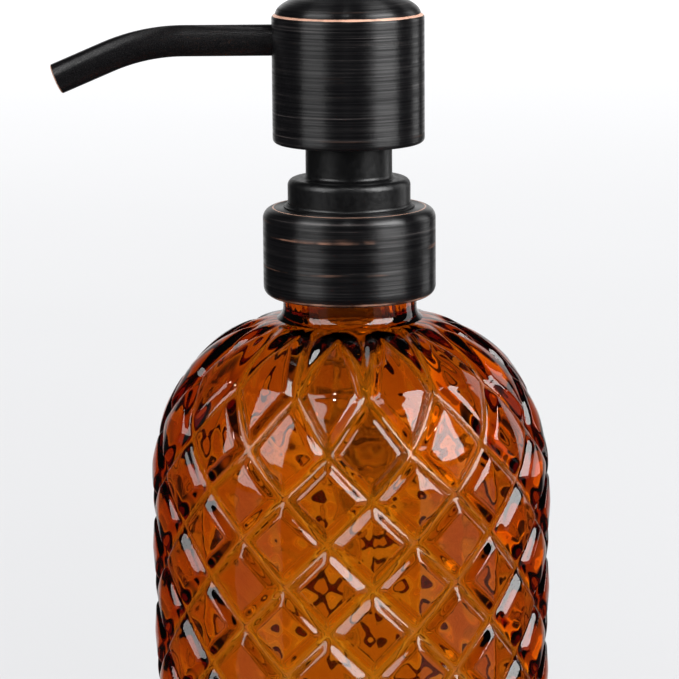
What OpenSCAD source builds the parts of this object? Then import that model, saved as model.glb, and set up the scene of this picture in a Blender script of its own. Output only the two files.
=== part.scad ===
// Refillable soap pump dispenser: pressed glass bottle, metal collar, metal press head with a
// bent spout, and the two-valve lotion pump inside. Origin at the centre of the bottle's foot,
// +Z up along the pump's axis, and the spout points along -X. All sizes in millimetres.

/* [Bottle] */
// Largest radius of the bottle's body
body_r = 39.9; // [38:0.1:42]
// Radius of the body just above the foot
foot_r = 39.2; // [38:0.1:42]
// Height at which the body ends and the shoulder begins
shoulder_z = 107; // [95:1:112]
// Height of the rounded shoulder
shoulder_h = 33; // [30:0.5:34]
// Outer radius of the plain neck below the thread
neck_r = 13.2; // [13.1:0.1:13.7]
// Bore radius of the neck
mouth_r = 9.5; // [9.2:0.1:10]
// Height of the sealing face of the mouth
mouth_z = 157.5; // [157.5:0.1:158]
// Glass thickness of the body wall
wall = 4.3; // [3:0.1:5]
// Glass thickness of the floor
floor_t = 4; // [3:0.5:6]
// Height of the push-up under the foot
push_up = 3; // [1:0.5:4]

/* [Neck thread] */
// Rise of the thread in one turn
pitch = 4.2333; // [4.2333]
// Turns of thread on the neck
neck_turns = 1.25; // [1:0.25:1.5]
// Turns of thread in the collar
collar_turns = 1.5; // [1:0.25:1.5]
// Radius of the neck at the root of its thread
thread_root_r = 12.6; // [12.4:0.1:12.8]
// Radius over the crest of the neck's thread
thread_crest_r = 13.75; // [13.5:0.05:13.8]
// Radius inside the crest of the collar's thread
nut_crest_r = 13.05; // [13:0.05:13.1]
// Radius of the collar's threaded bore at its root
nut_root_r = 14.0; // [13.95:0.05:14.2]

/* [Collar] */
// Outer radius of the collar
collar_r = 17; // [16.8:0.1:18]
// Height of the collar's top face
collar_z = 162; // [162]
// Height of the collar shell
collar_h = 17.55; // [16:0.05:18]
// Rounding of the collar's top edge
collar_round_top = 2.1; // [1:0.1:2.5]
// Rounding of the collar's bottom edge
collar_round_low = 2.1; // [1.5:0.1:2.5]
// Sheet thickness of the collar shell
collar_sheet = 0.6; // [0.4:0.1:0.7]

/* [Guide cap] */
// Radius of the wide step of the guide cap
step_r = 12.07; // [11.5:0.01:12.2]
// Height of the wide step above the collar
step_h = 5.75; // [5.7:0.05:7]
// Radius of the narrow step of the guide cap
chimney_r = 8.5; // [8.3:0.1:8.6]
// Height of the narrow step's end above the collar
chimney_h = 16; // [15:0.1:16]

/* [Head] */
// Outer radius of the head shell
head_r = 14.9; // [14.5:0.1:15.5]
// Height of the head's lower edge above the collar
head_gap = 12.7; // [12.6:0.1:14]
// Height of the head's upper edge above the collar
head_edge = 37.8; // [37:0.1:39]
// Height of the domed top above the upper edge
dome_h = 4.6; // [3:0.1:6]
// Sheet thickness of the head shell
head_sheet = 0.8; // [0.5:0.1:0.8]
// Travel of the head when it is pressed
stroke = 12; // [8:0.5:12]

/* [Spout] */
// Outer radius of the spout tube
spout_r = 3.05; // [2.8:0.05:3.1]
// Bore radius of the spout tube
spout_bore_r = 2.4; // [2:0.1:2.5]
// Height of the spout's axis above the collar
spout_h = 32.8; // [32.8:0.1:33]
// Distance from the pump's axis to where the spout begins to bend
spout_straight = 32; // [28:0.5:36]
// Radius of the bend along the tube's centre line
bend_r = 38; // [30:1:45]
// Angle by which the spout bends down
bend_deg = 23; // [15:1:35]
// Length of the straight end after the bend
spout_end = 11; // [6:0.5:14]

/* [Pump] */
// Bore radius of the pump housing
bore_r = 6.8; // [6.6:0.1:6.9]
// Outer radius of the pump housing
housing_r = 8; // [7.8:0.1:8.2]
// Length of the housing's bore below the collar's top
bore_l = 50; // [50:1:54]
// Outer radius of the stem
stem_r = 3.5; // [3.5]
// Bore radius of the stem
stem_bore_r = 2.2; // [2:0.1:2.3]
// Mean radius of the return spring
spring_r = 4.7; // [4.5:0.1:4.9]
// Radius of the spring's wire
wire_r = 0.45; // [0.4:0.05:0.5]
// Turns of the return spring
spring_turns = 9; // [7:1:10]
// Radius of the ball at the inlet
inlet_ball_r = 2.4; // [2.4:0.1:2.5]
// Radius of the ball at the outlet
outlet_ball_r = 2; // [2:0.1:2.1]
// Outer radius of the dip tube
dip_r = 3.2; // [3:0.1:3.2]
// Bore radius of the dip tube
dip_bore_r = 2.3; // [2:0.1:2.4]
// Height of the dip tube's lower end
dip_z = 9; // [8:0.5:20]

/* [Hidden] */
$fn = 96;

// Gaps: under a seated piece, round a pressed-in piece, between pieces that run in each other,
// under a lip, and behind a valve ball at the end of its lift
seat_gap = 0.02;
fit_gap = 0.05;
run_gap = 0.06;
lip_gap = 0.08;
stop_gap = 0.1;
// Overshoot that lets a cut pass through a face
eps = 1;
// Small rounding of a moulded corner
corner_round = 0.5;

// Glass colour, and the colours of the metal, the plastics and the rubber
amber = [0.72, 0.34, 0.05, 0.6];
bronze = [0.09, 0.08, 0.08];
black = [0.05, 0.05, 0.055];
natural = [0.9, 0.9, 0.87];
steel = [0.75, 0.76, 0.78];
grey_rubber = [0.35, 0.36, 0.38];

// Bottle: foot, shoulder and inside
heel_r = 6;
foot_ring_r = 27;
inside_r = body_r - wall;
inside_floor_z = push_up + floor_t;
inside_heel_r = 8;
inside_shoulder_h = shoulder_h - 2.5;
shoulder_steps = 24;
heel_steps = 6;
neck_thread_z = collar_z - 16;
neck_ring_h = 1.2;
mouth_round = 0.8;

// Thread ridges
facet_deg = 10;
ridge_foot = 2.3;
ridge_crest = 1.1;
nut_foot = 1.9;
nut_crest = 1.1;
ridge_sink = 0.4;
helix_z = mouth_z - 7.9;
nut_helix_z = helix_z - 1.75;
nut_start_deg = 60;
run_out = 4;
end_height = 0.15;

// Levels of the clamped stack under the collar's top
gasket_t = 1.5;
gasket_r = 13.2;
flange_t = 1.08;
flange_z = mouth_z + gasket_t;
insert_plate_t = 1.2;
insert_top_z = collar_z - collar_sheet - fit_gap;
insert_plate_z = insert_top_z - insert_plate_t;
insert_r = collar_r - collar_sheet - fit_gap;
insert_low_z = collar_z - collar_h + collar_round_low;
ring_r = 10.4;
ring_top_z = collar_z + 2;
collar_play = 0.28;
collar_hole_r = step_r + collar_play;

// Guide cap
step_z = collar_z + step_h;
chimney_z = collar_z + chimney_h;
chimney_bore_r = 7.2;
chimney_floor_z = collar_z + 5.2;
wiper_seat_z = collar_z + 2.7;
wiper_r = 4.7;
wiper_groove_r = 0.52;
guide_low_z = collar_z - 0.6;
guide_tube_r = bore_r - 0.2;
pocket_low_r = 8.7;
pocket_high_r = 10.6;
pocket_z = collar_z + 4.2;
lip_z = collar_z + lip_gap;
step_round = 1.4;
foot_lip = 0.8;
foot_lip_hollow = 0.56;
chimney_fillet = 0.8;
chimney_round = 0.5;

// Piston, stem and spring
piston_top_z = collar_z - 0.7;
shoulder_t = 1.4;
stem_shoulder_r = 5;
seal_top_z = piston_top_z - shoulder_t - seat_gap;
seal_l = 7;
seal_body_r = 5.2;
lip_h = 1.1;
core_top_z = seal_top_z - seal_l - seat_gap;
core_flange_t = 1.5;
core_flange_r = 5.6;
core_nose_l = 4;
core_nose_r = 3.3;
core_spigot_l = 4.5;
core_bore_r = 1.3;
spring_top_z = core_top_z - core_flange_t - seat_gap;

// Inlet valve and dip tube nipple
bore_z = collar_z - bore_l;
cage_top_z = bore_z + 4;
cage_plate_t = 1.2;
cage_skirt_t = 0.8;
cage_pin_r = 1.2;
cage_hole_r = 1;
cage_hole_at = 2.82;
coil_gap = 0.02;
spring_low_z = cage_top_z + seat_gap;
seat_hole_r = 1.6;
funnel_r = 5.5;
seat_z = bore_z - (funnel_r - seat_hole_r);
inlet_ball_z = seat_z - seat_hole_r + inlet_ball_r * sqrt(2) + seat_gap;
inlet_travel = 1.5;
nipple_r = 4.7;
nipple_low_z = bore_z - 17;
tube_stop_z = seat_z - 1.6;
tube_cut_deg = 45;
vent_r = 0.7;
vent_z = seal_top_z - seal_l / 2;

// Outlet valve at the top of the stem
stem_top_z = collar_z + 24;
outlet_seat_r = 2.6;
outlet_hole_r = 1.2;
outlet_seat_h = outlet_seat_r - outlet_hole_r;
outlet_ball_z = stem_top_z - outlet_seat_r + outlet_ball_r * sqrt(2) + seat_gap;
outlet_travel = 1.2;
outlet_cage_z = outlet_ball_z + outlet_ball_r + outlet_travel + stop_gap;
outlet_cage_t = 0.9;
outlet_cage_r = 2.88;
outlet_cage_hole_r = 0.6;
outlet_cage_hole_at = 1.68;

// Head
head_low_z = collar_z + head_gap;
head_edge_z = collar_z + head_edge;
head_round_low = 1;
head_edge_round = 0.7;
edge_steps = 4;
dome_steps = 18;
insert_wall_r = head_r - head_sheet - fit_gap;
cavity_r = 12.5;
cavity_z = step_z + stroke + 0.5;
well_r = 9;
well_z = chimney_z + stroke + 0.6;
socket_r = 5.8;
socket_z = chimney_floor_z + stroke + 0.8;
head_insert_low_z = head_low_z + 1;
head_insert_top_z = head_edge_z - head_sheet - fit_gap;
riser_r = 1.8;
spout_z = collar_z + spout_h;
spout_inner_x = 7;
bend_steps = 8;
spout_sides = 32;
oring_x = 10;
oring_r = 0.55;
oring_groove_r = 4.3;
oring_groove_w = 1.3;

// Points of an elliptical quarter from its side (x = cx + a) to its top (z = cz + b)
function quarter(cx, cz, a, b, steps) =
    [for (i = [0:steps]) [cx + a * cos(90 * i / steps), cz + b * sin(90 * i / steps)]];

function reversed(list) = [for (i = [len(list) - 1:-1:0]) list[i]];

// Half outline of a turned blank of radius r between two heights, with rounded outer corners
module blank(r, low_z, high_z, low_round, high_round) {
    polygon([
        [0, low_z],
        [r - low_round, low_z],
        [r, low_z + low_round],
        [r, high_z - high_round],
        [r - high_round, high_z],
        [0, high_z]
    ]);
    translate([r - low_round, low_z + low_round]) circle(low_round);
    translate([r - high_round, high_z - high_round]) circle(high_round);
}

// Rectangle in the half plane, from radius r0 to r1 and from z0 to z1
module band(r0, r1, z0, z1) {
    translate([r0, z0]) square([r1 - r0, z1 - z0]);
}

// Concave fillet of radius f that stands on height z against a post of radius r
module post_fillet(r, z, f) {
    difference() {
        band(r - eps, r + f, z - eps, z + f);
        translate([r + f, z + f]) circle(f);
        band(r + f, r + 2 * f, z - 2 * eps, z + 2 * f);
    }
}

// Closed tube mesh from rings of points, each ring listed the same way round
module skin(rings) {
    n = len(rings[0]);
    m = len(rings);
    points = [for (ring = rings, p = ring) p];
    sides = [for (i = [0:m - 2], j = [0:n - 1])
        [i * n + j, i * n + (j + 1) % n, (i + 1) * n + (j + 1) % n, (i + 1) * n + j]];
    first = [for (j = [n - 1:-1:0]) j];
    last = [for (j = [0:n - 1]) (m - 1) * n + j];
    polyhedron(points = points, faces = concat(sides, [first, last]), convexity = 10);
}

function round_z(r, a, z) = [r * cos(a), r * sin(a), z];

// Ridge height at step i of n, tapered at both ends
function ridge_scale(i, n) = max(end_height, min(1, i / run_out, (n - i) / run_out));

// One ring of a ridge whose foot is at radius foot_at and whose crest is at radius crest_at
function ridge_ring(a, z, foot_at, crest_at, foot_w, crest_w) = [
    round_z(foot_at, a, z - foot_w / 2),
    round_z(crest_at, a, z - crest_w / 2),
    round_z(crest_at, a, z + crest_w / 2),
    round_z(foot_at, a, z + foot_w / 2)
];

// Helical ridge on a post (crest outside) or in a bore (crest inside); its helix passes the
// height zero_z at angle zero
module ridge(turns, start_deg, zero_z, foot_at, crest_at, sink, foot_w, crest_w) {
    steps = round(turns * 360 / facet_deg);
    rings = [for (i = [0:steps])
        let (a = start_deg + i * facet_deg)
        let (crest = foot_at + (crest_at - foot_at) * ridge_scale(i, steps))
        ridge_ring(a, zero_z + pitch * a / 360, foot_at + sink, crest, foot_w, crest_w)];
    skin(crest_at > foot_at ? rings : [for (ring = rings) reversed(ring)]);
}

module glass_bottle() {
    outer = concat(
        [[0, push_up], [foot_ring_r - 2 * push_up, push_up], [foot_ring_r, 0], [foot_r - heel_r, 0]],
        reversed(quarter(foot_r - heel_r, heel_r, heel_r, -heel_r, heel_steps)),
        quarter(neck_r, shoulder_z, body_r - neck_r, shoulder_h, shoulder_steps),
        [[neck_r, neck_thread_z], [thread_root_r, neck_thread_z + neck_ring_h]],
        [[thread_root_r, mouth_z - mouth_round], [thread_root_r - mouth_round, mouth_z]]
    );
    inner = concat(
        [[mouth_r, mouth_z]],
        reversed(quarter(mouth_r, shoulder_z, inside_r - mouth_r, inside_shoulder_h, shoulder_steps)),
        quarter(inside_r - inside_heel_r, inside_floor_z + inside_heel_r, inside_heel_r,
            -inside_heel_r, heel_steps),
        [[0, inside_floor_z]]
    );
    color(amber) union() {
        rotate_extrude() polygon(concat(outer, inner));
        ridge(neck_turns, 0, helix_z, thread_root_r, thread_crest_r, -ridge_sink,
            ridge_foot, ridge_crest);
    }
}

module collar_shell() {
    color(bronze) rotate_extrude() difference() {
        blank(collar_r, collar_z - collar_h, collar_z, collar_round_low, collar_round_top);
        blank(collar_r - collar_sheet, collar_z - collar_h + collar_sheet,
            collar_z - collar_sheet, collar_round_low - collar_sheet,
            collar_round_top - collar_sheet);
        band(0, collar_r - collar_round_low, collar_z - collar_h - eps, collar_z - collar_h / 2);
        band(0, collar_hole_r, collar_z - collar_h / 2, collar_z + eps);
    }
}

module collar_insert() {
    color(black) union() {
        rotate_extrude() difference() {
            blank(insert_r, insert_low_z, insert_top_z, corner_round,
                collar_round_top - collar_sheet);
            band(0, nut_root_r, insert_low_z - eps, insert_plate_z);
            band(0, step_r + run_gap, insert_plate_z - eps, insert_top_z + eps);
        }
        ridge(collar_turns, nut_start_deg, nut_helix_z, nut_root_r, nut_crest_r, ridge_sink,
            nut_foot, nut_crest);
    }
}

module neck_gasket() {
    color(natural) rotate_extrude()
        band(housing_r + seat_gap, gasket_r, mouth_z + seat_gap, flange_z - seat_gap);
}

module guide_cap() {
    color(black) rotate_extrude() difference() {
        union() {
            blank(step_r, insert_plate_z + seat_gap, step_z, corner_round, step_round);
            blank(chimney_r, collar_z, chimney_z, corner_round, chimney_round);
            post_fillet(chimney_r, step_z, chimney_fillet);
            difference() {
                band(step_r - eps, step_r + foot_lip, lip_z, lip_z + foot_lip);
                translate([step_r + foot_lip, lip_z + foot_lip]) circle(foot_lip_hollow);
            }
        }
        band(0, chimney_bore_r, chimney_floor_z, chimney_z + eps);
        band(0, wiper_r, wiper_seat_z, chimney_floor_z + eps);
        band(0, stem_r + run_gap, 0, wiper_seat_z + eps);
        band(0, guide_tube_r, 0, guide_low_z);
        band(guide_tube_r, ring_r + fit_gap, 0, ring_top_z + fit_gap);
        band(pocket_low_r, pocket_high_r - seat_gap, ring_top_z, pocket_z);
    }
}

module stem_wiper() {
    color(grey_rubber) rotate_extrude() difference() {
        band(stem_r + run_gap, wiper_r - seat_gap, wiper_seat_z + seat_gap,
            chimney_floor_z - seat_gap);
        translate([stem_r + run_gap, (wiper_seat_z + chimney_floor_z) / 2])
            circle(wiper_groove_r);
    }
}

module pump_housing() {
    color(natural) difference() {
        rotate_extrude() difference() {
            polygon([
                [0, nipple_low_z],
                [nipple_r, nipple_low_z],
                [nipple_r, tube_stop_z],
                [housing_r, bore_z],
                [housing_r, flange_z],
                [gasket_r, flange_z],
                [gasket_r, flange_z + flange_t],
                [ring_r, flange_z + flange_t],
                [ring_r, ring_top_z],
                [0, ring_top_z]
            ]);
            polygon([
                [0, nipple_low_z - eps],
                [dip_r + seat_gap, nipple_low_z - eps],
                [dip_r + seat_gap, tube_stop_z],
                [seat_hole_r, tube_stop_z],
                [seat_hole_r, seat_z],
                [funnel_r, bore_z],
                [bore_r, bore_z],
                [bore_r, ring_top_z + eps],
                [0, ring_top_z + eps]
            ]);
        }
        translate([0, 0, vent_z]) rotate([0, 90, 0]) cylinder(h = housing_r + eps, r = vent_r);
    }
}

module ball_cage() {
    color(natural) difference() {
        rotate_extrude() {
            band(0, bore_r - seat_gap, cage_top_z - cage_plate_t, cage_top_z);
            band(bore_r - seat_gap - cage_skirt_t, bore_r - seat_gap, bore_z + seat_gap, cage_top_z);
            band(0, cage_pin_r, inlet_ball_z + inlet_ball_r + inlet_travel + stop_gap, cage_top_z);
        }
        for (a = [0:90:270]) {
            rotate([0, 0, a]) translate([cage_hole_at, 0, bore_z]) cylinder(h = bore_l, r = cage_hole_r);
        }
    }
}

module inlet_ball() {
    color(steel) translate([0, 0, inlet_ball_z]) sphere(inlet_ball_r);
}

// Height of the coil after u turns: the first and last turns lie flat against the seats
function coil_rise(u, free_l) =
    let (live = spring_turns - 2, dead = 2 * wire_r + coil_gap)
    u < 1 ? u * dead
    : u > spring_turns - 1 ? free_l - (spring_turns - u) * dead
    : dead + (u - 1) * (free_l - 2 * dead) / live;

module return_spring() {
    free_l = spring_top_z - spring_low_z - 2 * wire_r;
    turn_steps = 15;
    wire_sides = 8;
    rings = [for (i = [0:spring_turns * turn_steps])
        let (a = i * 360 / turn_steps, z = spring_low_z + wire_r + coil_rise(i / turn_steps, free_l))
        [for (k = [0:wire_sides - 1])
            let (b = -k * 360 / wire_sides)
            round_z(spring_r + wire_r * cos(b), a, z + wire_r * sin(b))]];
    color(steel) skin(rings);
}

module dip_tube() {
    cut = 3 * dip_r;
    color(natural) difference() {
        rotate_extrude() band(dip_bore_r, dip_r, dip_z, tube_stop_z - seat_gap);
        translate([-dip_r, -cut / 2, dip_z]) rotate([0, tube_cut_deg, 0]) cube(cut);
    }
}

module piston_seal() {
    color(natural) rotate_extrude() difference() {
        band(stem_r + seat_gap, bore_r - run_gap, seal_top_z - seal_l, seal_top_z);
        polygon([
            [bore_r, seal_top_z - lip_h],
            [seal_body_r, seal_top_z - 2 * lip_h],
            [seal_body_r, seal_top_z - seal_l + 2 * lip_h],
            [bore_r, seal_top_z - seal_l + lip_h]
        ]);
        polygon([
            [seal_body_r, seal_top_z + eps],
            [seal_body_r, seal_top_z - lip_h / 2],
            [bore_r - 2 * run_gap, seal_top_z + stop_gap]
        ]);
    }
}

module piston_core() {
    low_z = core_top_z - core_flange_t - core_nose_l;
    color(natural) rotate_extrude() difference() {
        union() {
            band(0, core_flange_r, core_top_z - core_flange_t, core_top_z);
            band(0, core_nose_r, low_z, core_top_z);
            band(0, stem_bore_r - seat_gap, low_z, core_top_z + core_spigot_l);
        }
        band(0, core_bore_r, low_z - eps, core_top_z + core_spigot_l + eps);
    }
}

module stem() {
    low_z = core_top_z + seat_gap;
    color(natural) rotate_extrude() difference() {
        union() {
            band(0, stem_r, low_z, stem_top_z);
            band(0, stem_shoulder_r, piston_top_z - shoulder_t, piston_top_z);
        }
        band(0, stem_bore_r, low_z - eps, stem_top_z - 2 * outlet_seat_h);
        band(0, outlet_hole_r, low_z, stem_top_z);
        polygon([
            [0, stem_top_z],
            [outlet_seat_r, stem_top_z],
            [outlet_hole_r, stem_top_z - outlet_seat_h],
            [0, stem_top_z - outlet_seat_h]
        ]);
    }
}

module outlet_ball() {
    color(steel) translate([0, 0, outlet_ball_z]) sphere(outlet_ball_r);
}

module outlet_cage() {
    color(natural) difference() {
        translate([0, 0, outlet_cage_z]) cylinder(h = outlet_cage_t, r = outlet_cage_r);
        for (a = [45:90:315]) {
            rotate([0, 0, a]) translate([outlet_cage_hole_at, 0, outlet_cage_z - eps])
                cylinder(h = outlet_cage_t + 2 * eps, r = outlet_cage_hole_r);
        }
    }
}

module head_insert() {
    cage_room_z = outlet_cage_z + outlet_cage_t + seat_gap;
    color(black) difference() {
        rotate_extrude() difference() {
            blank(insert_wall_r, head_insert_low_z, head_insert_top_z, corner_round,
                head_edge_round);
            difference() {
                union() {
                    band(0, cavity_r, head_insert_low_z - eps, cavity_z);
                    band(0, well_r, cavity_z - eps, well_z);
                }
                band(0, socket_r, socket_z, well_z + eps);
            }
            band(0, stem_r + seat_gap, socket_z - eps, stem_top_z + seat_gap);
            band(0, outlet_cage_r + seat_gap, stem_top_z, cage_room_z);
            band(0, riser_r, cage_room_z - eps, spout_z);
        }
        translate([riser_r, 0, spout_z]) rotate([0, -90, 0])
            cylinder(h = head_r, r = spout_bore_r);
        translate([0, 0, spout_z]) rotate([0, -90, 0]) {
            translate([0, 0, spout_inner_x]) cylinder(h = head_r, r = spout_r + seat_gap);
            translate([0, 0, oring_x - oring_groove_w / 2])
                cylinder(h = oring_groove_w, r = oring_groove_r);
        }
    }
}

// Half outline of the head shell's outside, or of its inside when it is drawn in by t
module head_outline(t) {
    side_r = head_r - t;
    edge_r = head_r - head_edge_round - t;
    low_z = head_low_z - (t > 0 ? eps : 0);
    low_round = t > 0 ? 0 : head_round_low;
    polygon(concat(
        [[0, low_z], [side_r - low_round, low_z], [side_r, low_z + low_round]],
        quarter(edge_r, head_edge_z - head_edge_round - t, head_edge_round, head_edge_round,
            edge_steps),
        quarter(0, head_edge_z - t, edge_r, dome_h, dome_steps)
    ));
    if (t == 0) {
        translate([head_r - head_round_low, head_low_z + head_round_low]) circle(head_round_low);
    }
}

module head_shell() {
    color(bronze) difference() {
        rotate_extrude() difference() {
            head_outline(0);
            head_outline(head_sheet);
        }
        translate([0, 0, spout_z]) rotate([0, -90, 0])
            cylinder(h = head_r + eps, r = spout_r + seat_gap);
    }
}

// Centre line of the spout from its inner end to its open end, as [x, z, angle below level]
function spout_path(start_x, end_l) =
    let (bend_x = -spout_straight - bend_r * sin(bend_deg))
    let (bend_z = spout_z - bend_r * (1 - cos(bend_deg)))
    concat(
        [[-start_x, spout_z, 0]],
        [for (i = [0:bend_steps])
            let (a = bend_deg * i / bend_steps)
            [-spout_straight - bend_r * sin(a), spout_z - bend_r * (1 - cos(a)), a]],
        [[bend_x - end_l * cos(bend_deg), bend_z - end_l * sin(bend_deg), bend_deg]]
    );

// Solid rod of radius r along the spout's centre line
module spout_rod(r, start_x, end_l) {
    skin([for (p = spout_path(start_x, end_l))
        [for (k = [0:spout_sides - 1])
            let (b = 360 * k / spout_sides)
            [p.x - r * sin(b) * sin(p.z), r * cos(b), p.y + r * sin(b) * cos(p.z)]]]);
}

module spout_tube() {
    color(bronze) difference() {
        spout_rod(spout_r, spout_inner_x + seat_gap, spout_end);
        spout_rod(spout_bore_r, spout_inner_x - eps, spout_end + eps);
    }
}

module spout_seal() {
    color(grey_rubber) translate([-oring_x, 0, spout_z]) rotate([0, -90, 0])
        rotate_extrude() translate([spout_r + seat_gap + oring_r, 0]) circle(oring_r);
}

glass_bottle();
collar_shell();
collar_insert();
neck_gasket();
guide_cap();
stem_wiper();
pump_housing();
ball_cage();
inlet_ball();
return_spring();
dip_tube();
piston_seal();
piston_core();
stem();
outlet_ball();
outlet_cage();
head_insert();
head_shell();
spout_tube();
spout_seal();
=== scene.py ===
import math

import bpy
import numpy as np
from mathutils import Euler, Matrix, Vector


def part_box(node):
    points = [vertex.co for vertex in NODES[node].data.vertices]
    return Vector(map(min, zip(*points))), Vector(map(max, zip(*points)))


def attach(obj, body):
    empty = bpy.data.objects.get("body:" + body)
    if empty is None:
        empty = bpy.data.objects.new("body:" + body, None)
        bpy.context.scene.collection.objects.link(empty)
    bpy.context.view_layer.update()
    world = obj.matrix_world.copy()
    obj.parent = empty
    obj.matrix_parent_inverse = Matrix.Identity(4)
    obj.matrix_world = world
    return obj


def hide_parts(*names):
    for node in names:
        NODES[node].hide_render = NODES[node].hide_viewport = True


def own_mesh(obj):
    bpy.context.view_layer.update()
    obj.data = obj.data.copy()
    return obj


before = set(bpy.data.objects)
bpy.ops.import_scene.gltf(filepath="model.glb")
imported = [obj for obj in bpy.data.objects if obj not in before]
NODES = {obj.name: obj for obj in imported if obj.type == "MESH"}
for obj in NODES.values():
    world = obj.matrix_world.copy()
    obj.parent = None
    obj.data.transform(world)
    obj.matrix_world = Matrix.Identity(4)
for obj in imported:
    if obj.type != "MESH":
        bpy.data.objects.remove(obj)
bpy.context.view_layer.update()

MM = 0.001
SCENE = bpy.context.scene

# ---------------------------------------------------------------- places read from the frame
BOTTLE_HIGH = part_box("glass_bottle")[1]
BODY_R = BOTTLE_HIGH.x / MM
MOUTH_Z = BOTTLE_HIGH.z / MM
COLLAR_LOW, COLLAR_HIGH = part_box("collar_shell")
COLLAR_Z = COLLAR_HIGH.z / MM
COLLAR_LOW_Z = COLLAR_LOW.z / MM
COLLAR_R = COLLAR_HIGH.x / MM
HEAD_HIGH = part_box("head_shell")[1]
HEAD_R = HEAD_HIGH.x / MM
HEAD_TOP_Z = HEAD_HIGH.z / MM

# ---------------------------------------------------------------- bottle, in millimetres
FOOT_R = 39.2
HEEL_R = 6.0
FOOT_RING_R = 27.0
PUSH_UP = 3.0
SHOULDER_Z = 107.0
SHOULDER_H = 33.0
SHOULDER_END_DEG = 88
NECK_R = 13.2
NECK_FILLET = 2.2
NECK_FILLET_Z = SHOULDER_Z + SHOULDER_H + 2.0
NECK_FILLET_DEG = 250
NECK_TOP_Z = 146.0
NECK_STEP = 1.2
ROOT_R = 12.6
CREST_R = 13.75
BORE_R = 9.5
INSIDE_R = BODY_R - 4.3
INSIDE_SHOULDER_H = 30.5
INSIDE_FLOOR_Z = 7.0
INSIDE_HEEL_R = 8.0
LIP_ROUND = 0.8

# Spacing of the outline's points, points in each arc, and the reach and spread of the softening, in points
OUTLINE_STEP = 0.2
ARC_POINTS = 80
SOFT_REACH = 6
SOFT_SPREAD = 2.2

# Outline points from one ring of the mesh to the next, by the part of the bottle they are on
THREAD_GAP = 1
RELIEF_GAP = 2
HEEL_GAP = 4
INSIDE_GAP = 5

# Neck thread
PITCH = 4.2333
NECK_TURNS = 1.25
HELIX_Z = MOUTH_Z - 7.9
THREAD_START_DEG = 90
THREAD_RUN_OUT_DEG = 40
THREAD_HALF_W = 1.15
THREAD_FLANK_W = 0.6
ROOT_MARGIN = 0.1

# Diamond relief: cells round the bottle, the angle of one crossing, and the rows of crossings
CELLS = 14
HALF_CELL = math.pi / CELLS
CROSSING_ANGLE = math.radians(5.78)
RELIEF_TOP_R = 16.0
RELIEF_TOP_MARGIN = 1.5
NEAR_NECK_POINTS = 60
RELIEF_LOW_Z = 14.0
HEEL_BAND_Z = 9.0
PETAL_RADII = (19.2, 22.4, 25.6)
PETAL_ROWS = (0.33, 0.56, 0.75)
CROSSING_Z = 130.8
BELOW_CROSSING = ((130.05, 1.10), (128.2, 1.31))
UPPER_ROWS_Z = (120.65, 111.8)
ROW_PITCH = 8.7
EVEN_ROWS = 5
LAST_ROW = 14

# Section of the relief: the groove, the slope beside it, and the low crown of each cell
GROOVE_HALF = 0.45
SLOPE_W = 1.5
SLOPE_DEPTH = 1.35
SLOPE_SOFT = 0.12
CROWN_W = 7.5
CROWN_DEPTH = 0.45
CORNER_SOFT = 0.4
FADE_W = 9.0
FADE_START_R = RELIEF_TOP_R - 1.0
# Distance that stands for having no groove near
NO_GROOVE = 40.0
COLUMNS_PER_HALF = 24

# Waves of the inside: their turns round the bottle and their radians for each millimetre of height,
# both from the least to the most, and the part of the inside that they cover
RIPPLE_SEED = 5
RIPPLE_WAVES = 18
RIPPLE_TURNS = (6, 44)
RIPPLE_RATES = (0.2, 1.3)
RIPPLE_PHASE = 6.3
RIPPLE_HIGH = 5
RIPPLE_DEPTH = 0.035
RIPPLE_LEAST_R = 3
RIPPLE_TOP_Z = MOUTH_Z - 6


def new_object(name, mesh):
    """An object of this mesh or light, linked to the scene."""
    obj = bpy.data.objects.new(name, mesh)
    SCENE.collection.objects.link(obj)
    return obj


def smoothstep(x):
    """0 to 1 with level ends, as x goes from 0 to 1."""
    x = np.clip(x, 0.0, 1.0)
    return x * x * (3 - 2 * x)


def bevel(x):
    """0 to 1 along a straight slope with small rounded corners."""
    return SLOPE_SOFT * (np.logaddexp(0, x / SLOPE_SOFT) - np.logaddexp(0, (x - 1) / SLOPE_SOFT))


def run_along(points):
    """Length along a polyline from its start to each of its points."""
    return np.r_[0, np.cumsum(np.hypot(*np.diff(points, axis=0).T))]


def dense(points, step):
    """Points along a polyline, about a step apart."""
    points = np.array(points, float)
    run = run_along(points)
    at = np.linspace(0, run[-1], max(2, round(run[-1] / step) + 1))
    return np.c_[np.interp(at, run, points[:, 0]), np.interp(at, run, points[:, 1])]


def soften(points):
    """The same outline with its corners rounded over about a millimetre, as glass has no sharp ones."""
    kernel = np.exp(-0.5 * (np.arange(-SOFT_REACH, SOFT_REACH + 1) / SOFT_SPREAD) ** 2)
    kernel /= kernel.sum()
    padded = np.r_[np.repeat(points[:1], SOFT_REACH, 0), points, np.repeat(points[-1:], SOFT_REACH, 0)]
    soft = np.c_[np.convolve(padded[:, 0], kernel, "valid"), np.convolve(padded[:, 1], kernel, "valid")]
    soft[0] = points[0]
    soft[-1] = points[-1]
    return soft


def arc(centre_r, centre_z, width, height, start, end):
    """Points of an elliptical arc from angle start to angle end, in degrees."""
    angle = np.radians(np.linspace(start, end, ARC_POINTS))
    return list(zip(centre_r + width * np.cos(angle), centre_z + height * np.sin(angle)))


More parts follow.
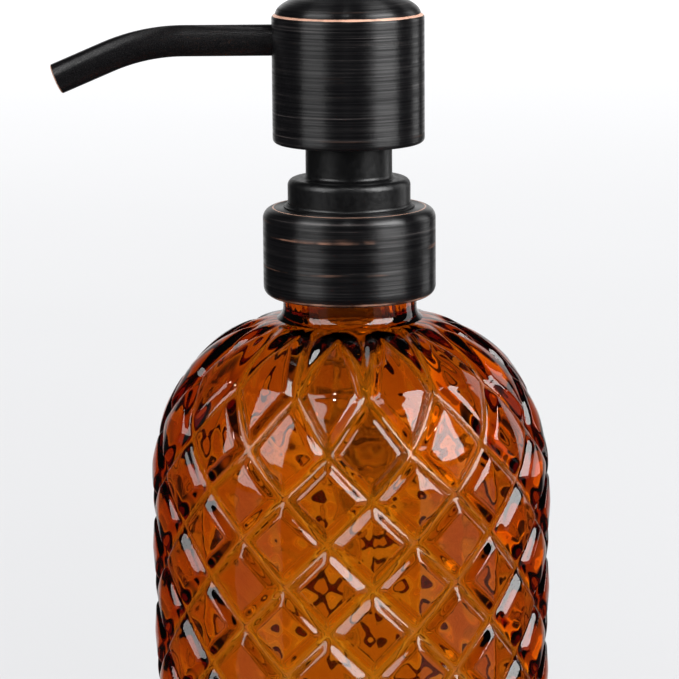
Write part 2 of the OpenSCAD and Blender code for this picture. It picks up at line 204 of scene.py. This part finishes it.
def bottle_profile():
    """Half outline of the bottle, up the outside and down the inside, and which points are outside."""
    outline = [(0, PUSH_UP), (FOOT_RING_R - 2 * PUSH_UP, PUSH_UP), (FOOT_RING_R, 0)]
    outline += arc(FOOT_R - HEEL_R, HEEL_R, HEEL_R, HEEL_R, -90, 0)
    outline += arc(NECK_R, SHOULDER_Z, BODY_R - NECK_R, SHOULDER_H, 0, SHOULDER_END_DEG)
    outline += arc(NECK_R + NECK_FILLET, NECK_FILLET_Z, NECK_FILLET, NECK_FILLET, NECK_FILLET_DEG, 180)
    outline += [(NECK_R, NECK_TOP_Z), (ROOT_R, NECK_TOP_Z + NECK_STEP), (ROOT_R, MOUTH_Z - LIP_ROUND)]
    outline += arc(ROOT_R - LIP_ROUND, MOUTH_Z - LIP_ROUND, LIP_ROUND, LIP_ROUND, 0, 90)
    outside_count = len(dense(outline, OUTLINE_STEP))
    outline += arc(BORE_R + LIP_ROUND, MOUTH_Z - LIP_ROUND, LIP_ROUND, LIP_ROUND, 90, 180)
    outline += arc(BORE_R, SHOULDER_Z, INSIDE_R - BORE_R, INSIDE_SHOULDER_H, 90, 0)
    outline += arc(INSIDE_R - INSIDE_HEEL_R, INSIDE_FLOOR_Z + INSIDE_HEEL_R,
                   INSIDE_HEEL_R, INSIDE_HEEL_R, 0, -90)
    outline += [(0, INSIDE_FLOOR_Z)]
    points = dense(outline, OUTLINE_STEP)
    return soften(points), np.arange(len(points)) < outside_count


def ring_gap(z, is_outside):
    """Outline points from one ring of the mesh to the next, for a point at this height."""
    if not is_outside:
        return INSIDE_GAP
    if z > NECK_TOP_Z - 1:
        return THREAD_GAP
    return RELIEF_GAP if z > RELIEF_LOW_Z else HEEL_GAP


def ring_points(points, outside):
    """Indices of the outline's points that become rings of the mesh."""
    keep = [0]
    for i in range(1, len(points) - 1):
        if i - keep[-1] >= ring_gap(points[i, 1], outside[i]):
            keep.append(i)
    return keep + [len(points) - 1]


def crossing_rows(z, radius, down):
    """Lengths down from the relief's top, and the row number that belongs to each."""
    even_z = [UPPER_ROWS_Z[-1] - ROW_PITCH * k for k in range(1, EVEN_ROWS + 1)]
    heights = [CROSSING_Z] + [at for at, _ in BELOW_CROSSING] + list(UPPER_ROWS_Z) + even_z
    petals = np.interp(PETAL_RADII, radius, down)
    marks = np.r_[0, petals, np.interp(-np.array(heights), -z, down)]
    whole_rows = 2 + np.arange(len(UPPER_ROWS_Z) + EVEN_ROWS)
    return marks, np.r_[0, PETAL_ROWS, 1, [row for _, row in BELOW_CROSSING], whole_rows]


def row_at(down, marks, rows):
    """Row number at each length down the bottle, by a monotone cubic through the rows at the marks."""
    width = np.diff(marks)
    rate = np.diff(rows) / width
    slope = np.r_[rate[0], 2 * rate[1:] * rate[:-1] / (rate[1:] + rate[:-1]), rate[-1]]
    i = np.clip(np.searchsorted(marks, down) - 1, 0, len(width) - 1)
    t = (down - marks[i]) / width[i]
    step = rows[i + 1] - rows[i]
    start = width[i] * slope[i]
    end = width[i] * slope[i + 1]
    cubic = rows[i] + start * t + (3 * step - 2 * start - end) * t ** 2 + (start + end - 2 * step) * t ** 3
    beyond = rows[-1] + (down - marks[-1]) * rate[-1]
    return np.where(t > 1, beyond, cubic)


def relief_depth(theta, down, radius, marks, rows):
    """Depth of the surface below the cells' crowns, for angles theta across and outline points down."""
    row = row_at(down, marks, rows)
    rate = np.gradient(row, down)[:, None]
    row = row[:, None]
    radius = radius[:, None]
    column = (theta[None, :] - CROSSING_ANGLE) / HALF_CELL
    grade = 0.5 * np.hypot(rate, 1 / (HALF_CELL * radius))
    near = []
    for sign in (1, -1):
        line = (column + sign * (row + 1)) / 2
        near.append(np.where(row < LAST_ROW, np.abs(line - np.round(line)) / grade, NO_GROOVE))
    near.append(np.broadcast_to(np.abs(LAST_ROW - row) / rate, near[0].shape))
    distance = -CORNER_SOFT * np.log(sum(np.exp(-away / CORNER_SOFT) for away in near))
    slope = SLOPE_DEPTH * (1 - bevel((distance - GROOVE_HALF) / SLOPE_W))
    crown = CROWN_DEPTH * (1 - smoothstep(distance / CROWN_W))
    below_rim = smoothstep((radius - FADE_START_R) / FADE_W)
    past_end = smoothstep((row - LAST_ROW) / rate / FADE_W)
    return (slope + crown) * below_rim * (1 - past_end)


def thread_height(theta, z):
    """Height of the neck's thread above its root."""
    height = np.zeros((len(z), len(theta)))
    for turn in range(math.ceil(NECK_TURNS)):
        angle = (np.degrees(theta) - THREAD_START_DEG) % 360 + 360 * turn
        run_out = np.clip(np.minimum(angle, NECK_TURNS * 360 - angle) / THREAD_RUN_OUT_DEG, 0, 1)
        away = np.abs(z[:, None] - (HELIX_Z + PITCH * angle / 360)[None, :])
        ridge = smoothstep((THREAD_HALF_W - away) / THREAD_FLANK_W)
        height = np.maximum(height, ridge * run_out[None, :] * (CREST_R - ROOT_R))
    return height


def ripple(theta, z):
    """Soft random waves, the same on every run, about one high."""
    rng = np.random.default_rng(RIPPLE_SEED)
    total = np.zeros((len(z), len(theta)))
    for _ in range(RIPPLE_WAVES):
        turns = rng.integers(*RIPPLE_TURNS)
        rate = rng.uniform(*RIPPLE_RATES)
        total += np.sin(turns * theta[None, :] + rate * z[:, None] + rng.uniform(0, RIPPLE_PHASE))
    return total / RIPPLE_HIGH


def carved_depth(theta, points, outside):
    """Depth below the plain outline at every point of the mesh: relief, thread and wavy inside."""
    radius, z = points.T
    run = run_along(points)
    depth = np.zeros((len(points), len(theta)))
    on_body = (z > HEEL_BAND_Z) & (z < SHOULDER_Z + SHOULDER_H)
    body = np.flatnonzero(outside & on_body & (radius > RELIEF_TOP_R - RELIEF_TOP_MARGIN))
    below_neck = body[-NEAR_NECK_POINTS:]
    top = np.interp(-RELIEF_TOP_R, -radius[below_neck], run[below_neck])
    body = body[::-1]
    down = top - run[body]
    marks, rows = crossing_rows(z[body], radius[body], down)
    depth[body] = relief_depth(theta, down, radius[body], marks, rows)
    neck = np.flatnonzero(outside & (z > NECK_TOP_Z) & (radius > ROOT_R - ROOT_MARGIN))
    depth[neck] -= thread_height(theta, z[neck])
    wavy = np.flatnonzero(~outside & (z < RIPPLE_TOP_Z) & (radius > RIPPLE_LEAST_R))
    depth[wavy] += RIPPLE_DEPTH * ripple(theta, z[wavy])
    return depth


def grid_mesh(name, position):
    """Smooth closed mesh from rings of points, whose first and last rings are points on the axis."""
    rings, columns = position.shape[:2]
    along = np.gradient(position, axis=0)
    across = np.roll(position, -1, 1) - np.roll(position, 1, 1)
    normal = np.cross(across, along)
    normal /= np.maximum(np.linalg.norm(normal, axis=2, keepdims=True), 1e-12)
    verts = np.vstack([position[0, :1], position[1:-1].reshape(-1, 3), position[-1, :1]]) * MM
    normals = np.vstack([[0, 0, -1], normal[1:-1].reshape(-1, 3), [0, 0, 1]])
    ring, column = np.meshgrid(np.arange(rings - 3), np.arange(columns), indexing="ij")
    here = 1 + ring * columns + column
    beside = 1 + ring * columns + (column + 1) % columns
    quads = np.stack([here, beside, beside + columns, here + columns], -1).reshape(-1, 4)
    last = 1 + (rings - 3) * columns
    fan_low = [[0, 1 + (k + 1) % columns, 1 + k] for k in range(columns)]
    fan_high = [[len(verts) - 1, last + k, last + (k + 1) % columns] for k in range(columns)]
    mesh = bpy.data.meshes.new(name)
    mesh.from_pydata(verts.tolist(), [], quads.tolist() + fan_low + fan_high)
    mesh.shade_smooth()
    mesh.normals_split_custom_set_from_vertices(normals.tolist())
    return mesh


def make_bottle():
    """The glass bottle with its diamond relief, neck thread and slightly wavy inside."""
    points, outside = bottle_profile()
    keep = ring_points(points, outside)
    points = points[keep]
    columns = CELLS * 2 * COLUMNS_PER_HALF
    theta = np.arange(columns) * 2 * math.pi / columns
    depth = carved_depth(theta, points, outside[keep])
    tangent = np.gradient(points, run_along(points), axis=0)
    tangent /= np.linalg.norm(tangent, axis=1, keepdims=True)
    radius = points[:, :1] - depth * tangent[:, 1:]
    z = points[:, 1:] + depth * tangent[:, :1]
    position = np.stack([radius * np.sin(theta), -radius * np.cos(theta), z], -1)
    bottle = new_object("bottle_glass", grid_mesh("bottle_glass", position))
    bottle.data.materials.append(amber_glass())
    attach(bottle, "bottle")
    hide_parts("glass_bottle")


# ---------------------------------------------------------------- spout and spring, in millimetres
SPOUT_R = 3.05
SPOUT_BORE_R = 2.4
SPOUT_Z = COLLAR_Z + 32.8
SPOUT_INNER_X = 7.02
SPOUT_STRAIGHT = 32.0
BEND_R = 38.0
BEND_DEG = 23.0
SPOUT_END = 11.0
SPOUT_END_SHARE = 0.4
SPOUT_STRAIGHT_X = 10.0
SPOUT_STRAIGHT_RINGS = 12
BEND_RINGS = 25
SPOUT_SIDES = 64
RIM_ROUND = 0.3
RIM_TURN_DEG = (15, 165)
RIM_RINGS = 7
RIM_WEAR = 0.9
SHARP_DEG = 50

WIRE_R = 0.45
WIRE_SIDES = 14
SPRING_R = 4.7
SPRING_TURNS = 9
STEPS_PER_TURN = 40
CLOSED_TURN_H = 2.05 * WIRE_R


def spout_line():
    """Centre line of the spout as (x, z, angle below level), from its inner end to its open end."""
    line = [(-SPOUT_INNER_X, SPOUT_Z, 0.0)]
    straight = np.linspace(SPOUT_STRAIGHT_X, SPOUT_STRAIGHT - 1, SPOUT_STRAIGHT_RINGS)
    line += [(-x, SPOUT_Z, 0.0) for x in straight]
    for angle in np.radians(np.linspace(0, BEND_DEG, BEND_RINGS)):
        x = -SPOUT_STRAIGHT - BEND_R * math.sin(angle)
        line.append((x, SPOUT_Z - BEND_R * (1 - math.cos(angle)), angle))
    x, z, angle = line[-1]
    for run in (SPOUT_END * SPOUT_END_SHARE, SPOUT_END - RIM_ROUND):
        line.append((x - run * math.cos(angle), z - run * math.sin(angle), angle))
    return line


def spout_rings():
    """Rings of the tube's skin as (x, z, angle, radius, wear): the outside, the rounded rim, the bore."""
    line = spout_line()
    rings = [(*place, SPOUT_R, 0.0) for place in line]
    x, z, angle = line[-1]
    half_wall = (SPOUT_R - SPOUT_BORE_R) / 2
    for turn in np.radians(np.linspace(*RIM_TURN_DEG, RIM_RINGS)):
        push = RIM_ROUND * math.sin(turn)
        radius = (SPOUT_R + SPOUT_BORE_R) / 2 + half_wall * math.cos(turn)
        rings.append((x - push * math.cos(angle), z - push * math.sin(angle), angle, radius, RIM_WEAR))
    return rings + [(*place, SPOUT_BORE_R, 0.0) for place in reversed(line)]


def spout_mesh():
    """The spout's rings joined into one closed skin, with the wear stored at each point."""
    rings = spout_rings()
    verts = []
    for x, z, angle, radius, _ in rings:
        for side in np.arange(SPOUT_SIDES) * 2 * math.pi / SPOUT_SIDES:
            across = radius * math.sin(side)
            spot = (x - across * math.sin(angle), radius * math.cos(side), z + across * math.cos(angle))
            verts.append(tuple(c * MM for c in spot))
    faces = []
    for i in range(len(rings)):
        here = i * SPOUT_SIDES
        after = (i + 1) % len(rings) * SPOUT_SIDES
        for j in range(SPOUT_SIDES):
            k = (j + 1) % SPOUT_SIDES
            faces.append([here + j, here + k, after + k, after + j])
    mesh = bpy.data.meshes.new("spout")
    mesh.from_pydata(verts, [], faces)
    mesh.shade_smooth()
    mesh.set_sharp_from_angle(angle=math.radians(SHARP_DEG))
    wear = np.repeat([ring[-1] for ring in rings], SPOUT_SIDES)
    mesh.attributes.new("wear", "FLOAT", "POINT").data.foreach_set("value", wear)
    return mesh


def make_spout():
    """The spout tube, with its smooth bend and copper-worn rim."""
    spout = new_object("spout", spout_mesh())
    spout.data.materials.append(bronze("bronze_spout", spout_wear, 5000, 5000, 0.1))
    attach(spout, "head")
    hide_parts("spout_tube")


def spring_mesh(low, free):
    """A round wire wound up from height low, free high between wire centres, with closed end turns."""
    total = SPRING_TURNS * STEPS_PER_TURN
    turns = [0, 1, SPRING_TURNS - 1, SPRING_TURNS]
    heights = [0, CLOSED_TURN_H, free - CLOSED_TURN_H, free]
    verts = []
    for i in range(total + 1):
        turn = i / STEPS_PER_TURN
        rise = np.interp(turn, turns, heights)
        angle = 2 * math.pi * turn
        for side in np.arange(WIRE_SIDES) * 2 * math.pi / WIRE_SIDES:
            radius = SPRING_R + WIRE_R * math.cos(side)
            height = low + WIRE_R + rise + WIRE_R * math.sin(side)
            verts.append((radius * math.cos(angle) * MM, radius * math.sin(angle) * MM, height * MM))
    faces = []
    for i in range(total):
        here = i * WIRE_SIDES
        after = here + WIRE_SIDES
        for j in range(WIRE_SIDES):
            k = (j + 1) % WIRE_SIDES
            faces.append([here + j, after + j, after + k, here + k])
    faces.append(list(range(WIRE_SIDES)))
    faces.append([total * WIRE_SIDES + j for j in reversed(range(WIRE_SIDES))])
    mesh = bpy.data.meshes.new("spring")
    mesh.from_pydata(verts, [], faces)
    mesh.shade_smooth()
    return mesh


def make_spring():
    """The return spring, built at its rest length; the real spring shortens as the head is pressed."""
    low, high = (v.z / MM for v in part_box("return_spring"))
    rest = high - low
    spring = new_object("spring", spring_mesh(low, rest - 2 * WIRE_R))
    spring.data.materials.append(steel("spring_steel", 0.18))
    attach(spring, "pump_unit")
    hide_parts("return_spring")
    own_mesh(spring)


# ---------------------------------------------------------------- node graphs
class Graph:
    """A node tree, with short calls for the nodes used here."""

    def __init__(self, tree):
        self.tree = tree

    def node(self, kind, **settings):
        """A new node with these settings."""
        made = self.tree.nodes.new(kind)
        for key, value in settings.items():
            setattr(made, key, value)
        return made

    def put(self, socket, value):
        """Links another node's output to the socket, or sets a constant on it."""
        if hasattr(value, "is_output"):
            self.tree.links.new(value, socket)
        else:
            socket.default_value = value

    def math(self, operation, a, b=0.0, c=0.0):
        """The result of one arithmetic step."""
        made = self.node("ShaderNodeMath", operation=operation)
        for socket, value in zip(made.inputs, (a, b, c)):
            self.put(socket, value)
        return made.outputs[0]

    def between(self, value, low, high, out_low=0.0, out_high=1.0):
        """Smooth step from out_low to out_high as the value goes from low to high."""
        made = self.node("ShaderNodeMapRange", interpolation_type="SMOOTHSTEP")
        keys = ("Value", "From Min", "From Max", "To Min", "To Max")
        for key, given in zip(keys, (value, low, high, out_low, out_high)):
            self.put(made.inputs[key], given)
        return made.outputs["Result"]

    def mix(self, factor, a, b):
        """Colour a where the factor is 0, and colour b where it is 1."""
        made = self.node("ShaderNodeMix", data_type="RGBA")
        self.put(made.inputs[0], factor)
        for socket, value in ((made.inputs[6], a), (made.inputs[7], b)):
            self.put(socket, (*value, 1) if isinstance(value, tuple) else value)
        return made.outputs[2]


class Surface(Graph):
    """A new material: its shader, its object coordinates, and the textures used here."""

    def __init__(self, name):
        self.material = bpy.data.materials.new(name)
        self.material.use_nodes = True
        super().__init__(self.material.node_tree)
        self.shader = self.tree.nodes["Principled BSDF"]
        self.output = self.tree.nodes["Material Output"]
        self.coords = self.node("ShaderNodeTexCoord").outputs["Object"]

    def feed(self, **values):
        """Puts constants or other nodes' outputs on the shader's own sockets."""
        for name, value in values.items():
            self.put(self.shader.inputs[name.replace("_", " ")], value)

    def stretched(self, x, y, z):
        """Object coordinates scaled along each axis."""
        made = self.node("ShaderNodeMapping")
        self.put(made.inputs["Vector"], self.coords)
        made.inputs["Scale"].default_value = (x, y, z)
        return made.outputs["Vector"]

    def noise(self, scale, detail=3.0, rough=0.5, vector=None, distortion=0.0):
        """Fractal noise, centred on 0.5."""
        made = self.node("ShaderNodeTexNoise")
        self.put(made.inputs["Vector"], vector or self.coords)
        keys = ("Scale", "Detail", "Roughness", "Distortion")
        for key, value in zip(keys, (scale, detail, rough, distortion)):
            made.inputs[key].default_value = value
        return made.outputs["Fac"]

    def ramp(self, value, *stops):
        """The colour at the value, between stops of (position, colour)."""
        made = self.node("ShaderNodeValToRGB")
        self.put(made.inputs["Fac"], value)
        elements = made.color_ramp.elements
        while len(elements) < len(stops):
            elements.new(0.5)
        for element, (at, colour) in zip(elements, stops):
            element.position = at
            element.color = (*colour, 1)
        return made.outputs["Color"]

    def drift(self, noise, dark, light):
        """Base colour that drifts between two tones with the noise."""
        self.feed(Base_Color=self.ramp(noise, (0.3, dark), (0.7, light)))

    def bump(self, height, distance_mm, strength=1.0):
        """Normal of a surface that stands this far out where the height is 1."""
        made = self.node("ShaderNodeBump")
        made.inputs["Strength"].default_value = strength
        made.inputs["Distance"].default_value = distance_mm * MM
        self.put(made.inputs["Height"], height)
        return made.outputs["Normal"]

    def radial(self):
        """Height and distance from the pump's axis, in metres."""
        split = self.node("ShaderNodeSeparateXYZ")
        self.put(split.inputs[0], self.coords)
        x, y, z = split.outputs
        squares = self.math("ADD", self.math("MULTIPLY", x, x), self.math("MULTIPLY", y, y))
        return z, self.math("SQRT", squares)

    def near(self, value, centre_mm, half_mm, soft_mm):
        """1 within half_mm of centre_mm, fading to 0 over soft_mm."""
        away = self.math("ABSOLUTE", self.math("SUBTRACT", value, centre_mm * MM))
        return self.between(away, half_mm * MM, (half_mm + soft_mm) * MM, 1.0, 0.0)


# ---------------------------------------------------------------- materials
GLASS_IOR = 1.52
GLASS_DENSITY = 1000.0
GLASS_TINT = (0.897, 0.690, 0.08)

# The bronze's blurred highlight runs along the axis, across the brushing: a quarter turn of the tangent
BRUSHING = 0.95
QUARTER_TURN = 0.25
BRONZE_DARK = (0.0012, 0.0012, 0.0016)
BRONZE_WARM = (0.0035, 0.0032, 0.0036)
BRONZE_LINE = (0.045, 0.038, 0.037)
COPPER = (0.40, 0.19, 0.12)
COPPER_PALE = (0.70, 0.44, 0.33)
HEAD_EDGE_Z = HEAD_TOP_Z - 4.65
HEAD_EDGE_R = HEAD_R - 1.1
COLLAR_EDGE_R = COLLAR_R - 2.0
COLLAR_ROLL_Z = COLLAR_LOW_Z + 0.6
# Height of the brushed grooves in millimetres, times their number in a metre
GROOVE_HEIGHT = 85

PLASTIC_IOR = 1.49
CLEAR_PLASTIC_IOR = 1.3
PLASTIC_GRAIN = 900


def amber_glass():
    """Clear amber glass: the colour comes from its thickness, and the surface is faintly wavy."""
    look = Surface("amber_glass")
    streak = look.noise(28, 4, 0.55, look.stretched(1, 1, 0.35), 0.6)
    look.drift(streak, (1.0, 0.93, 0.80), (1.0, 0.97, 0.90))
    look.feed(Transmission_Weight=1.0, IOR=GLASS_IOR)
    look.feed(Roughness=look.between(look.noise(420, 2), 0.35, 0.75, 0.0, 0.02))
    look.feed(Normal=look.bump(look.noise(95, 2, 0.4, None, 0.8), 0.12, 0.5))
    absorb = look.node("ShaderNodeVolumeAbsorption")
    absorb.inputs["Color"].default_value = (*GLASS_TINT, 1)
    absorb.inputs["Density"].default_value = GLASS_DENSITY
    look.put(look.output.inputs["Volume"], absorb.outputs[0])
    return look.material


def head_wear(look):
    """Copper shows along the upper edge of the head."""
    z, r = look.radial()
    edge = look.near(z, HEAD_EDGE_Z, 0.10, 0.22)
    return look.math("MULTIPLY", edge, look.between(r, HEAD_EDGE_R * MM, (HEAD_EDGE_R + 0.3) * MM))


def collar_wear(look):
    """Copper shows as a thin ring at the top edge and along the rolled bottom edge."""
    z, r = look.radial()
    on_top = look.between(z, (COLLAR_Z - 0.3) * MM, (COLLAR_Z - 0.2) * MM)
    top = look.math("MULTIPLY", look.near(r, COLLAR_EDGE_R, 0.08, 0.18), on_top)
    low = look.near(z, COLLAR_ROLL_Z, 0.1, 0.35)
    return look.math("MAXIMUM", top, look.math("MULTIPLY", low, 0.7))


def spout_wear(look):
    """Copper shows where the mesh stores wear, on the spout's rim."""
    return look.node("ShaderNodeAttribute", attribute_name="wear").outputs["Fac"]


def bronze(name, wear, round_scale, line_scale, scratch_gain):
    """Dark oil-rubbed bronze, brushed round the axis, with copper where the finish has worn through."""
    look = Surface(name)
    lines = look.noise(1, 5, 0.7, look.stretched(round_scale, round_scale, line_scale))
    wide = look.stretched(round_scale * 0.7, round_scale * 0.7, line_scale * 0.45)
    coarse = look.noise(1, 3, 0.6, wide)
    patches = look.noise(60, 4, 0.6)
    base = look.ramp(lines, (0.35, BRONZE_DARK), (0.60, BRONZE_WARM), (0.72, BRONZE_LINE))
    scratch = look.math("MULTIPLY", look.between(coarse, 0.60, 0.70), look.between(patches, 0.45, 0.65))
    base = look.mix(look.math("MULTIPLY", scratch, scratch_gain), base, COPPER)
    breaks = look.math("MULTIPLY", look.math("SUBTRACT", look.noise(170, 4, 0.65), 0.5), 1.7)
    ragged = look.between(look.math("ADD", wear(look), breaks), 0.45, 1.1)
    look.feed(Base_Color=look.mix(ragged, base, look.mix(patches, COPPER, COPPER_PALE)))
    look.feed(Metallic=0.1, IOR=1.5, Anisotropic=BRUSHING, Anisotropic_Rotation=QUARTER_TURN)
    look.feed(Roughness=look.between(coarse, 0.35, 0.65, 0.28, 0.48))
    look.feed(Specular_IOR_Level=look.between(lines, 0.35, 0.65, 0.30, 0.70))
    grooves = look.math("ADD", look.math("MULTIPLY", lines, 0.5), coarse)
    look.feed(Normal=look.bump(grooves, GROOVE_HEIGHT / line_scale))
    return look.material


def plastic(name, dark, light, rough, clear=0.0):
    """Moulded plastic with a fine grain and a slight drift of colour."""
    look = Surface(name)
    look.drift(look.noise(70), dark, light)
    look.feed(IOR=CLEAR_PLASTIC_IOR if clear else PLASTIC_IOR, Transmission_Weight=clear)
    grain = look.noise(PLASTIC_GRAIN, 3, 0.6)
    look.feed(Roughness=look.between(grain, 0.3, 0.7, rough - 0.05, rough + 0.07))
    look.feed(Normal=look.bump(grain, 0.01, 0.25))
    return look.material


def foam():
    """White closed-cell foam, with its small round cells."""
    look = Surface("gasket_foam")
    cells = look.node("ShaderNodeTexVoronoi")
    look.put(cells.inputs["Vector"], look.coords)
    cells.inputs["Scale"].default_value = 2600
    look.drift(look.noise(120), (0.80, 0.80, 0.77), (0.90, 0.90, 0.88))
    look.feed(Roughness=0.85, Normal=look.bump(cells.outputs["Distance"], 0.08, 0.5))
    return look.material


def rubber():
    """Grey elastomer with a fine matt grain."""
    look = Surface("soft_seal")
    look.drift(look.noise(160), (0.10, 0.105, 0.115), (0.14, 0.145, 0.155))
    look.feed(Roughness=look.between(look.noise(1500), 0.3, 0.7, 0.55, 0.7))
    look.feed(Normal=look.bump(look.noise(1200), 0.01, 0.3))
    return look.material


def steel(name, rough):
    """Bright stainless steel with slight variations of polish."""
    look = Surface(name)
    look.drift(look.noise(300), (0.60, 0.61, 0.63), (0.72, 0.73, 0.75))
    look.feed(Metallic=1.0, Roughness=look.between(look.noise(900), 0.3, 0.7, rough, rough + 0.1))
    look.feed(Normal=look.bump(look.noise(2500), 0.004, 0.2))
    return look.material


def dress(material, *names):
    """Gives these pieces of the frame the material."""
    for name in names:
        NODES[name].data.materials.clear()
        NODES[name].data.materials.append(material)


def dress_cad():
    """Materials of all the pieces that keep the shape they have in the frame."""
    dress(bronze("bronze_head", head_wear, 24, 2600, 0.10), "head_shell")
    dress(bronze("bronze_collar", collar_wear, 24, 1700, 0.55), "collar_shell")
    black = plastic("black_plastic", (0.0010, 0.0010, 0.0012), (0.0016, 0.0016, 0.0019), 0.34)
    dress(black, "guide_cap", "collar_insert", "head_insert")
    natural = plastic("natural_plastic", (0.93, 0.93, 0.90), (0.97, 0.97, 0.95), 0.10, 0.95)
    dress(natural, "pump_housing", "ball_cage", "piston_core", "stem", "outlet_cage", "piston_seal")
    tube = plastic("tube_plastic", (0.93, 0.93, 0.91), (0.97, 0.97, 0.95), 0.10, 0.95)
    dress(tube, "dip_tube")
    dress(foam(), "neck_gasket")
    dress(rubber(), "stem_wiper", "spout_seal")
    dress(steel("ball_steel", 0.06), "inlet_ball", "outlet_ball")


# ---------------------------------------------------------------- floor, light and camera, in metres
FLOOR_HALF = 9.0
# Painted glow of the floor: its strength for each square root of a metre from the axis, its least, and its
# reach
FLOOR_GLOW = 0.50
FLOOR_GLOW_LEAST = 0.09
FLOOR_GLOW_REACH = 2.6
ROOM_SEEN = (0.90, 0.905, 0.92)

LAMP_DISTANCE = 0.95
LAMP_AIM = Vector((0, 0, 0.12))
# Name, azimuth and elevation in degrees, width, height, radiance.
# Azimuth 0 is the camera's side, and positive is to the right.
LAMPS = (
    ("key_right", 60, 32, 0.64, 0.80, 8.6),
    ("fill_left", -56, 32, 0.62, 0.80, 4.4),
    ("rim_right", 122, 12, 0.30, 0.80, 1.4),
    ("spark", -4, 62, 0.05, 0.05, 60.0),
    ("low_right", 62, -14, 0.75, 0.70, 0.25),
    ("low_left", -56, -14, 0.62, 0.70, 0.15),
)

CAMERA_PLACE = (-0.0021, -0.617, COLLAR_Z * MM + 0.0935)
CAMERA_PITCH = 11.02
CAMERA_ROLL = -0.43
CAMERA_LENS = 168.2
CAMERA_SENSOR = 36
CAMERA_CLIP = (0.01, 50)


def make_floor():
    """Pale floor with a painted glow that grows away from the object, and that throws no shadow or
    reflection on it.
    """
    corners = [(x * FLOOR_HALF, y * FLOOR_HALF, 0) for x, y in ((-1, -1), (1, -1), (1, 1), (-1, 1))]
    mesh = bpy.data.meshes.new("floor")
    mesh.from_pydata(corners, [], [(0, 1, 2, 3)])
    floor = new_object("floor", mesh)
    look = Surface("pale_floor")
    look.drift(look.noise(3), (0.285, 0.285, 0.29), (0.295, 0.295, 0.30))
    # Painted light: the floor emits, less near the object and more away from it
    spread = look.math("SQRT", look.math("MINIMUM", look.radial()[1], FLOOR_GLOW_REACH))
    look.feed(Emission_Strength=look.math("MULTIPLY_ADD", spread, FLOOR_GLOW, FLOOR_GLOW_LEAST))
    look.feed(Roughness=0.8, Emission_Color=(0.985, 0.99, 1.0, 1))
    floor.data.materials.append(look.material)
    floor.visible_glossy = False
    floor.visible_shadow = False


def softbox(name, azimuth, elevation, width, height, radiance):
    """A rectangular lamp that faces the object."""
    light = bpy.data.lights.new(name, "AREA")
    light.shape = "RECTANGLE"
    light.size = width
    light.size_y = height
    light.energy = radiance * math.pi * width * height
    lamp = new_object(name, light)
    around = math.radians(azimuth)
    up = math.radians(elevation)
    way = Vector((math.sin(around) * math.cos(up), -math.cos(around) * math.cos(up), math.sin(up)))
    lamp.location = LAMP_AIM + way * LAMP_DISTANCE
    lamp.rotation_euler = (-way).to_track_quat("-Z", "Y").to_euler()


def make_lights():
    """Two large upper softboxes, a dim one under each, a strip behind and a small lamp for the sparks."""
    for lamp in LAMPS:
        softbox(*lamp)


def make_world():
    """Pale to the eye and the floor; glass and metal see a dark room with a bright wall behind."""
    world = bpy.data.worlds.new("studio")
    SCENE.world = world
    world.use_nodes = True
    room = Graph(world.node_tree)
    rays = room.node("ShaderNodeLightPath").outputs
    split = room.node("ShaderNodeSeparateXYZ")
    room.put(split.inputs[0], room.node("ShaderNodeTexCoord").outputs["Generated"])
    back = split.outputs["Y"]
    for_metal = room.between(back, 0.80, 0.99, 0.02, 0.7)
    wall_behind = room.between(back, 0.15, 0.80, 0.02, 0.92)
    wall_in_front = room.between(back, -0.4, -0.9, 0.0, 0.30)
    for_glass = room.math("MAXIMUM", wall_behind, wall_in_front)
    seen = room.mix(rays["Is Glossy Ray"], ROOM_SEEN, for_metal)
    seen = room.mix(rays["Is Transmission Ray"], seen, for_glass)
    room.put(world.node_tree.nodes["Background"].inputs["Color"], seen)


def make_camera():
    """Long lens, looking slightly down on the shoulder and the pump."""
    data = bpy.data.cameras.new("camera")
    data.lens = CAMERA_LENS
    data.sensor_width = CAMERA_SENSOR
    data.clip_start, data.clip_end = CAMERA_CLIP
    camera = new_object("camera", data)
    camera.rotation_mode = "QUATERNION"
    tilt = Euler((math.radians(90 - CAMERA_PITCH), 0, 0)).to_quaternion()
    roll = Euler((0, 0, math.radians(CAMERA_ROLL))).to_quaternion()
    camera.rotation_quaternion = tilt @ roll
    camera.location = CAMERA_PLACE
    SCENE.camera = camera


make_bottle()
make_spout()
make_spring()
dress_cad()
make_floor()
make_world()
make_lights()
make_camera()
SCENE.view_settings.view_transform = "Standard"
